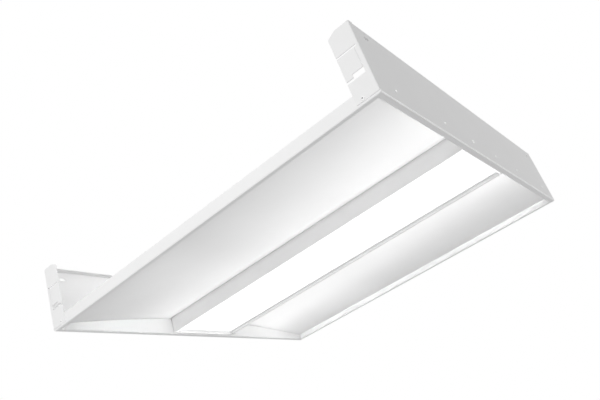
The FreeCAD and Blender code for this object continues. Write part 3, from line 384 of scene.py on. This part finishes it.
def paint_fold_highlight(material, outer, rise, highlight_level):
    """Paints a highlight along the rim's outer fold: the enamel turns metallic there and mirrors the
    room.
    """
    tree = material.node_tree
    place = tree.nodes.new("ShaderNodeTexCoord")
    axes = tree.nodes.new("ShaderNodeSeparateXYZ")
    tree.links.new(place.outputs["Object"], axes.inputs["Vector"])
    reach = tree.nodes.new("ShaderNodeMath")
    reach.operation = "MAXIMUM"
    for index, axis in enumerate("XY"):
        size = tree.nodes.new("ShaderNodeMath")
        size.operation = "ABSOLUTE"
        tree.links.new(axes.outputs[axis], size.inputs[0])
        tree.links.new(size.outputs[0], reach.inputs[index])
    near_edge = tree.nodes.new("ShaderNodeMapRange")
    near_edge.inputs["From Min"].default_value = outer - highlight_band
    near_edge.inputs["From Max"].default_value = outer - highlight_core
    tree.links.new(reach.outputs[0], near_edge.inputs["Value"])
    near_face = tree.nodes.new("ShaderNodeMapRange")
    near_face.inputs["From Min"].default_value = rise
    near_face.inputs["From Max"].default_value = rise - rise_fade
    tree.links.new(axes.outputs["Z"], near_face.inputs["Value"])
    uneven = tree.nodes.new("ShaderNodeTexNoise")
    uneven.inputs["Scale"].default_value = patches_per_metre
    tree.links.new(place.outputs["Object"], uneven.inputs["Vector"])
    amount = tree.nodes.new("ShaderNodeMapRange")
    amount.inputs["From Min"].default_value = 0.3
    amount.inputs["From Max"].default_value = 0.7
    amount.inputs["To Min"].default_value = highlight_level * least_highlight
    amount.inputs["To Max"].default_value = highlight_level
    tree.links.new(uneven.outputs["Fac"], amount.inputs["Value"])
    both = tree.nodes.new("ShaderNodeMath")
    both.operation = "MULTIPLY"
    tree.links.new(near_edge.outputs["Result"], both.inputs[0])
    tree.links.new(near_face.outputs["Result"], both.inputs[1])
    # Painted highlight: where the mask is full the enamel turns metallic, so the fold mirrors the white
    # room.
    painted_highlight = tree.nodes.new("ShaderNodeMath")
    painted_highlight.operation = "MULTIPLY"
    tree.links.new(both.outputs[0], painted_highlight.inputs[0])
    tree.links.new(amount.outputs["Result"], painted_highlight.inputs[1])
    tree.links.new(painted_highlight.outputs[0], tree.nodes["Principled BSDF"].inputs["Metallic"])


# Both enamels get the painted highlight along the rim's outer edge.
rim_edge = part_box("right_end_plate")[1].x
for enamel in (white_enamel, reflector_enamel):
    paint_fold_highlight(enamel, outer=rim_edge, rise=0.0018, highlight_level=0.95)
print("rim worn at", round(rim_edge, 4))

# %% [markdown]
# ### Frosted lens
#
# The lens is a sheet of frosted acrylic, lit from behind by two rows of light sources. In the photograph
# it is an even white, so the glow is almost level, with a broad soft rise over the two rows. A fine
# frost gives the surface its grain.

# %% Frosted lens
lens_half = 0.072
frosted_lens = bpy.data.materials.new("frosted_lens")
frosted_lens.use_nodes = True
tree = frosted_lens.node_tree
shader = tree.nodes["Principled BSDF"]
shader.inputs["Base Color"].default_value = (0.9, 0.9, 0.9, 1.0)
shader.inputs["Roughness"].default_value = 0.55
shader.inputs["Emission Strength"].default_value = 0.55
place = tree.nodes.new("ShaderNodeTexCoord")
split = tree.nodes.new("ShaderNodeSeparateXYZ")
to_row = tree.nodes.new("ShaderNodeMath")
to_row.operation = "ABSOLUTE"
across_lens = tree.nodes.new("ShaderNodeMapRange")
across_lens.inputs["From Max"].default_value = lens_half
rows = tree.nodes.new("ShaderNodeValToRGB")
rows.color_ramp.interpolation = "B_SPLINE"
rows.color_ramp.elements[0].color = (*grey(0.93), 1.0)
rows.color_ramp.elements[1].color = (*grey(0.92), 1.0)
over_row = rows.color_ramp.elements.new(0.55)
over_row.color = white
frost = tree.nodes.new("ShaderNodeTexNoise")
frost.inputs["Scale"].default_value = 1600.0
frost.inputs["Detail"].default_value = 3.0
bump = tree.nodes.new("ShaderNodeBump")
bump.inputs["Strength"].default_value = 0.3
bump.inputs["Distance"].default_value = 0.00003
tree.links.new(place.outputs["Object"], split.inputs["Vector"])
tree.links.new(split.outputs["Y"], to_row.inputs[0])
tree.links.new(to_row.outputs[0], across_lens.inputs["Value"])
tree.links.new(across_lens.outputs["Result"], rows.inputs["Fac"])
tree.links.new(rows.outputs["Color"], shader.inputs["Emission Color"])
tree.links.new(place.outputs["Object"], frost.inputs["Vector"])
tree.links.new(frost.outputs["Fac"], bump.inputs["Height"])
tree.links.new(bump.outputs["Normal"], shader.inputs["Normal"])
paint(frosted_lens, "lens")

# %% [markdown]
# ### Plated and spring steel
#
# The hinges, pins and corner angles are zinc plated, with the cloudy spangle that zinc has. The catches
# and lens clips are spring steel, darker and smoother. Both are metals, so their colour tints what they
# reflect.

# %% Plated and spring steel
zinc_sheet = finish("zinc_sheet", (0.56, 0.57, 0.59), (0.72, 0.73, 0.74), mottle=0.006,
                    gloss=(0.28, 0.5), grain=(0.0006, 0.00002), metal=1.0)
zinc_steel = finish("zinc_steel", grey(0.60), (0.74, 0.74, 0.73), mottle=0.003,
                    gloss=(0.22, 0.4), grain=(0.0004, 0.00001), metal=1.0)
spring_steel = finish("spring_steel", (0.40, 0.41, 0.43), (0.55, 0.56, 0.58), mottle=0.01,
                      gloss=(0.18, 0.32), grain=(0.0003, 0.00001), metal=1.0)
paint(zinc_sheet, "hinge_leaves", "hinge_brackets", "basket_corner_angles")
paint(zinc_steel, "hinge_pins")
paint(spring_steel, "catch_springs", "lens_clips")

# %% [markdown]
# ### Driver, boards and leads
#
# Inside, the driver has a satin white case and a green varnished circuit. The light boards have a white
# solder mask that bounces light back down. The leads have coloured plastic insulation with a slight
# sheen, and the bush that they pass through is black rubber.

# %% Driver, boards and leads
driver_enamel = finish("driver_enamel", (0.80, 0.80, 0.78), (0.86, 0.86, 0.84), mottle=0.03,
                       gloss=(0.3, 0.42), grain=(0.0009, 0.00002))
circuit_green = finish("circuit_green", (0.03, 0.18, 0.08), (0.06, 0.28, 0.13), mottle=0.004,
                       gloss=(0.25, 0.45), grain=(0.0005, 0.00003))
white_board = finish("white_board", (0.86, 0.86, 0.84), (0.91, 0.91, 0.89), mottle=0.01,
                     gloss=(0.22, 0.34), grain=(0.0008, 0.00001))
terminal_nylon = finish("terminal_nylon", (0.76, 0.36, 0.08), (0.86, 0.45, 0.12), mottle=0.008,
                        gloss=(0.4, 0.5), grain=(0.0006, 0.00002))
black_rubber = finish("black_rubber", grey(0.02), grey(0.04), mottle=0.003,
                      gloss=(0.6, 0.75), grain=(0.0004, 0.00003))
paint(driver_enamel, "driver_base", "driver_cover")
paint(circuit_green, "driver_circuit")
paint(white_board, "near_led_board", "far_led_board")
paint(terminal_nylon, "terminal_block")
paint(black_rubber, "lead_grommet")
insulation = {
    "live_lead": ((0.02, 0.02, 0.02), (0.04, 0.04, 0.04)),
    "neutral_lead": ((0.80, 0.80, 0.78), (0.87, 0.87, 0.85)),
    "ground_lead": ((0.03, 0.26, 0.08), (0.06, 0.36, 0.12)),
    "led_plus_lead": ((0.48, 0.03, 0.02), (0.60, 0.05, 0.04)),
    "led_minus_lead": ((0.03, 0.07, 0.42), (0.05, 0.11, 0.55)),
    "board_jumper": ((0.80, 0.80, 0.78), (0.87, 0.87, 0.85)),
}
for lead_name, (dark, pale) in insulation.items():
    plastic = finish(lead_name + "_insulation", dark, pale, mottle=0.004,
                     gloss=(0.32, 0.45), grain=(0.0005, 0.00001))
    paint(plastic, lead_name)

# %% [markdown]
# ## Copies of one small piece
#
# A light has dozens of rivets, screws and light sources. Each kind is modelled once, standing on the
# origin with its head towards -Z, and then copied to its places. A copy gets its own mesh, moved there
# with a matrix, and the copies of a kind are joined into one piece that sits at the origin.

# %% Helpers for copies
def turned_to(place, direction):
    """A matrix that stands a piece at a place with its shank along a direction."""
    turn = Vector(direction).to_track_quat("Z", "Y").to_matrix().to_4x4()
    return Matrix.Translation(Vector(place)) @ turn


def copies(pairs, name, replaced):
    """Copies of small pieces, each at its own place, joined into one that stands for a CAD node."""
    bpy.ops.object.select_all(action="DESELECT")
    for master, matrix in pairs:
        copy = bpy.data.objects.new(name, master.data.copy())
        copy.data.transform(matrix)
        bpy.context.scene.collection.objects.link(copy)
        copy.select_set(True)
        bpy.context.view_layer.objects.active = copy
    if len(pairs) > 1:
        bpy.ops.object.join()
    piece = bpy.context.active_object
    piece.name = name
    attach(piece, "housing")
    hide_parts(replaced)
    print(name, "copies:", len(pairs), "faces:", len(piece.data.polygons))


def select_faces(piece, test):
    """In edit mode, selects the faces that pass a test on their centre and normal."""
    bpy.ops.mesh.select_all(action="DESELECT")
    bpy.ops.object.mode_set(mode="OBJECT")
    for face in piece.data.polygons:
        face.select = test(face.center, face.normal)
    bpy.ops.object.mode_set(mode="EDIT")
    bpy.ops.mesh.select_mode(type="FACE")


# %% [markdown]
# ### Where the fasteners sit
#
# The CAD model keeps every rivet and screw as a plain six-sided bar with a wider head. Their places are
# read from those solids, so a modelled fastener always fills its own hole. A node's mesh is taken apart
# into its loose solids. Along its own axis a solid ends in two rings of at least six points, and the
# wider ring is the head.

# %% Seats of the fasteners
def loose_solids(name):
    """The points of each separate solid in a CAD node."""
    merged = bmesh.new()
    merged.from_mesh(nodes[name].data)
    bmesh.ops.remove_doubles(merged, verts=merged.verts, dist=1e-6)
    merged.verts.ensure_lookup_table()
    seen, solids = set(), []
    for first in merged.verts:
        if first.index in seen:
            continue
        seen.add(first.index)
        waiting, points = [first], []
        while waiting:
            vert = waiting.pop()
            points.append(vert.co.copy())
            for edge in vert.link_edges:
                other = edge.other_vert(vert)
                if other.index not in seen:
                    seen.add(other.index)
                    waiting.append(other)
        solids.append(points)
    merged.free()
    return solids


def ring(points, axis, level):
    """The points of a solid at one level along an axis, with their middle and radius."""
    at_level = [point for point in points if abs(point[axis] - level) < 1e-5]
    middle = sum(at_level, Vector()) / len(at_level)
    return len(at_level), middle, max((point - middle).length for point in at_level)


def seat_of(points):
    """The outer end of a fastener's head, the way its shank points and its whole length."""
    for axis in range(3):
        levels = [point[axis] for point in points]
        ends = [ring(points, axis, level) for level in (min(levels), max(levels))]
        if all(count >= 6 for count, middle, radius in ends):
            head, tail = sorted(ends, key=lambda end: -end[2])
            way = tail[1] - head[1]
            return head[1], way.normalized(), way.length
    raise ValueError("no axis found")


def fasteners(cad_name, name, model, head_height, finishes):
    """Models one fastener for each length in a CAD node and copies it to every seat."""
    patterns, pairs = {}, []
    for outer, way, length in map(seat_of, loose_solids(cad_name)):
        size = round(length, 5)
        if size not in patterns:
            patterns[size] = model(cad_name + "_pattern", size, finishes)
        pairs.append((patterns[size], turned_to(outer + way * head_height, way)))
    copies(pairs, name, cad_name)
    for pattern in patterns.values():
        bpy.data.objects.remove(pattern)


# %% [markdown]
# ### Rivet
#
# A blind rivet is bright aluminium. It has a low domed head with the dark pit where its steel mandrel
# broke off, a shank and a tail behind the sheets. It starts as a cylinder for the head. The head's outer
# edge is bevelled into a dome, its face is inset and pushed in for the pit, and the shank and tail are
# extruded from the back.

# %% Rivet
rivet_head_radius, rivet_head_height = 0.0026, 0.0008
rivet_shank_radius, rivet_tail = 0.0016, 0.0010
dome_edge, tail_taper = 0.0006, 0.7
pit_radius, pit_depth = 0.00095, 0.0004


def rivet_model(name, length, finishes):
    """One rivet: head below z = 0, shank and tail above."""
    bpy.ops.object.select_all(action="DESELECT")
    bpy.ops.mesh.primitive_cylinder_add(vertices=20, radius=rivet_head_radius, depth=rivet_head_height,
                                        location=(0.0, 0.0, -rivet_head_height / 2))
    rivet = bpy.context.active_object
    rivet.name = name
    for material in finishes:
        rivet.data.materials.append(material)
    bpy.ops.object.transform_apply(location=True, rotation=True, scale=True)
    bpy.ops.object.mode_set(mode="EDIT")
    select_faces(rivet, lambda centre, normal: normal.z < -0.9)
    bpy.ops.mesh.bevel(offset=dome_edge, segments=4, affect="EDGES")
    select_faces(rivet, lambda centre, normal: normal.z < -0.99 and centre.z < -rivet_head_height + 1e-6)
    bpy.ops.mesh.inset(thickness=rivet_head_radius - dome_edge - pit_radius)
    rivet.active_material_index = 1
    bpy.ops.object.material_slot_assign()
    bpy.ops.mesh.extrude_region_move(TRANSFORM_OT_translate={"value": (0.0, 0.0, pit_depth)})
    select_faces(rivet, lambda centre, normal: normal.z > 0.99 and centre.z > -1e-6)
    bpy.ops.mesh.inset(thickness=rivet_head_radius - rivet_shank_radius)
    grip = length - rivet_head_height - rivet_tail
    bpy.ops.mesh.extrude_region_move(TRANSFORM_OT_translate={"value": (0.0, 0.0, grip)})
    bpy.ops.mesh.extrude_region_move(TRANSFORM_OT_translate={"value": (0.0, 0.0, rivet_tail)})
    bpy.ops.transform.resize(value=(tail_taper, tail_taper, 1.0))
    bpy.ops.object.mode_set(mode="OBJECT")
    bpy.ops.object.shade_smooth_by_angle(angle=math.radians(40.0))
    return rivet


bright_aluminium = finish("bright_aluminium", grey(0.88), grey(0.94), mottle=0.002,
                          gloss=(0.28, 0.4), grain=(0.0003, 0.00001), metal=1.0)
mandrel_steel = finish("mandrel_steel", grey(0.20), grey(0.32), mottle=0.001,
                       gloss=(0.4, 0.6), grain=(0.0002, 0.00001), metal=1.0)

# %% [markdown]
# A row of rivets holds each end plate to the trim behind it, and one more holds each corner tab. Behind
# the reflector, rivets tie the wings to the trims, the spine to the wings, and the hinge brackets and
# catches to the wings' upstands.

# %% All the rivets
rivet_finishes = (bright_aluminium, mandrel_steel)
for group in ("plate_rivets", "tab_rivets", "wing_rivets", "spine_rivets", "bracket_rivets"):
    fasteners(group, group + "_domed", rivet_model, rivet_head_height, rivet_finishes)

# %% [markdown]
# ### Screw
#
# The cover, the driver and the light boards are held by pan-head screws with a cross recess. The head
# starts as a cylinder whose outer rim is bevelled round, and its crown is inset by a narrow margin. The
# recess is two crossed slots: the crown is cut with four planes, and the cross between them is pushed in.

# %% Screw
screw_head_radius, screw_head_height = 0.0029, 0.0019
screw_radius, screw_tail = 0.0015, 0.0020
slot_half, slot_reach, slot_depth = 0.0004, 0.0014, 0.0009
head_edge, crown_margin, point_taper = 0.0008, 0.0003, 0.35


def on_crown(centre, normal):
    """True for the flat outer face of a screw's head."""
    return normal.z < -0.99 and centre.z < -screw_head_height + 1e-6


def in_cross(centre, normal):
    """True for the faces of the crown that lie in the two crossed slots."""
    near, far = sorted((abs(centre.x), abs(centre.y)))
    return on_crown(centre, normal) and near < slot_half * 0.9 and far < slot_reach


def screw_model(name, length, finishes):
    """One pan-head screw: head below z = 0, shank and point above."""
    bpy.ops.object.select_all(action="DESELECT")
    bpy.ops.mesh.primitive_cylinder_add(vertices=24, radius=screw_head_radius, depth=screw_head_height,
                                        location=(0.0, 0.0, -screw_head_height / 2))
    screw = bpy.context.active_object
    screw.name = name
    screw.data.materials.append(finishes[0])
    bpy.ops.object.transform_apply(location=True, rotation=True, scale=True)
    bpy.ops.object.mode_set(mode="EDIT")
    select_faces(screw, lambda centre, normal: normal.z < -0.9)
    bpy.ops.mesh.bevel(offset=head_edge, segments=4, affect="EDGES")
    select_faces(screw, on_crown)
    bpy.ops.mesh.inset(thickness=crown_margin)
    for normal in ((1.0, 0.0, 0.0), (0.0, 1.0, 0.0)):
        for sign in (-1, 1):
            select_faces(screw, on_crown)
            bpy.ops.mesh.bisect(plane_co=Vector(normal) * sign * slot_half, plane_no=normal)
    select_faces(screw, in_cross)
    bpy.ops.mesh.extrude_region_move(TRANSFORM_OT_translate={"value": (0.0, 0.0, slot_depth)})
    select_faces(screw, lambda centre, normal: normal.z > 0.99 and centre.z > -1e-6)
    bpy.ops.mesh.inset(thickness=screw_head_radius - screw_radius)
    grip = length - screw_head_height - screw_tail
    bpy.ops.mesh.extrude_region_move(TRANSFORM_OT_translate={"value": (0.0, 0.0, grip)})
    bpy.ops.mesh.extrude_region_move(TRANSFORM_OT_translate={"value": (0.0, 0.0, screw_tail)})
    bpy.ops.transform.resize(value=(point_taper, point_taper, 1.0))
    bpy.ops.object.mode_set(mode="OBJECT")
    bpy.ops.object.shade_smooth_by_angle(angle=math.radians(35.0))
    return screw


green_screw = finish("green_screw", (0.03, 0.22, 0.07), (0.06, 0.32, 0.11), mottle=0.003,
                     gloss=(0.3, 0.42), grain=(0.0004, 0.00001))
for group in ("cover_screws", "driver_screws", "board_screws"):
    fasteners(group, group + "_cross", screw_model, screw_head_height, (zinc_steel,))
fasteners("ground_screw", "ground_screw_cross", screw_model, screw_head_height, (green_screw,))

# %% [markdown]
# ### Light sources
#
# Each light source is a white square cup filled with yellow phosphor. A flat block is scaled from a
# cube, its lower face is inset for the cup's rim, and the inner face is pushed in and given the
# phosphor.

# %% Light sources
led_side, led_height, led_pitch = 0.0030, 0.0007, 0.020
cup_rim, cup_depth = 0.00035, 0.00012
led_frame = finish("led_frame", (0.88, 0.88, 0.86), (0.93, 0.93, 0.91), mottle=0.002,
                   gloss=(0.35, 0.45), grain=(0.0004, 0.00001))
led_phosphor = finish("led_phosphor", (0.86, 0.70, 0.16), (0.93, 0.80, 0.26), mottle=0.0008,
                      gloss=(0.4, 0.55), grain=(0.0002, 0.00001))
bpy.ops.object.select_all(action="DESELECT")
bpy.ops.mesh.primitive_cube_add(size=1.0, location=(0.0, 0.0, -led_height / 2))
led_pattern = bpy.context.active_object
led_pattern.name = "led_pattern"
led_pattern.scale = (led_side, led_side, led_height)
bpy.ops.object.transform_apply(location=True, rotation=True, scale=True)
led_pattern.data.materials.append(led_frame)
led_pattern.data.materials.append(led_phosphor)
bpy.ops.object.mode_set(mode="EDIT")
select_faces(led_pattern, lambda centre, normal: normal.z < -0.9)
bpy.ops.mesh.inset(thickness=cup_rim)
bpy.ops.mesh.extrude_region_move(TRANSFORM_OT_translate={"value": (0.0, 0.0, cup_depth)})
bpy.ops.object.mode_set(mode="OBJECT")
for face in led_pattern.data.polygons:
    if face.select:
        face.material_index = 1

# %% Rows of light sources
for row_name in ("near_leds", "far_leds"):
    row_low, row_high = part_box(row_name)
    led_count = round((row_high.x - row_low.x - led_side) / led_pitch) + 1
    row_y = (row_low.y + row_high.y) / 2
    row_start = row_low.x + led_side / 2
    row_places = [turned_to((row_start + index * led_pitch, row_y, row_high.z), (0, 0, 1))
                  for index in range(led_count)]
    copies([(led_pattern, place) for place in row_places], row_name + "_cups", row_name)

# %% [markdown]
# ### Board connectors
#
# The leads push into small moulded blocks on the boards' inner edges. A block is a cube with softened
# edges and a square mouth where the lead goes in.

# %% Board connectors
connector_nylon = finish("connector_nylon", (0.82, 0.81, 0.76), (0.88, 0.87, 0.82), mottle=0.004,
                         gloss=(0.4, 0.5), grain=(0.0005, 0.00001))
connector_size = Vector((0.012, 0.008, 0.0045))
soft_edge, mouth_margin, mouth_depth = 0.0004, 0.0009, 0.0008
bpy.ops.object.select_all(action="DESELECT")
bpy.ops.mesh.primitive_cube_add(size=1.0, location=(0.0, 0.0, -connector_size.z / 2))
connector = bpy.context.active_object
connector.name = "connector_pattern"
connector.scale = connector_size
bpy.ops.object.transform_apply(location=True, rotation=True, scale=True)
connector.data.materials.append(connector_nylon)
bpy.ops.object.mode_set(mode="EDIT")
bpy.ops.mesh.select_all(action="SELECT")
bpy.ops.mesh.bevel(offset=soft_edge, segments=2, affect="EDGES")
select_faces(connector, lambda centre, normal: normal.y < -0.99)
bpy.ops.mesh.inset(thickness=mouth_margin)
bpy.ops.mesh.extrude_region_move(TRANSFORM_OT_translate={"value": (0.0, mouth_depth, 0.0)})
bpy.ops.object.mode_set(mode="OBJECT")
bpy.ops.object.shade_smooth_by_angle(angle=math.radians(35.0))
print(connector.name, "faces:", len(connector.data.polygons))

# %% Places of the connectors
blocks_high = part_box("board_connectors")[1]
block_x = blocks_high.x - connector_size.x / 2
block_y = blocks_high.y - connector_size.y / 2
connector_places = []
for end in (-1, 1):
    for side in (-1, 1):
        half_turn = Matrix.Rotation(math.pi if side < 0 else 0.0, 4, "Z")
        seat = Matrix.Translation((end * block_x, side * block_y, blocks_high.z))
        connector_places.append(seat @ half_turn)
copies([(connector, place) for place in connector_places],
       "board_connectors_moulded", "board_connectors")

# %% [markdown]
# The patterns of the light source and the connector still stand on the origin, in the light's opening.
# Their copies have meshes of their own, so the patterns can be removed.

# %% Remove the patterns
for pattern in (led_pattern, connector):
    bpy.data.objects.remove(pattern)
print("patterns removed")
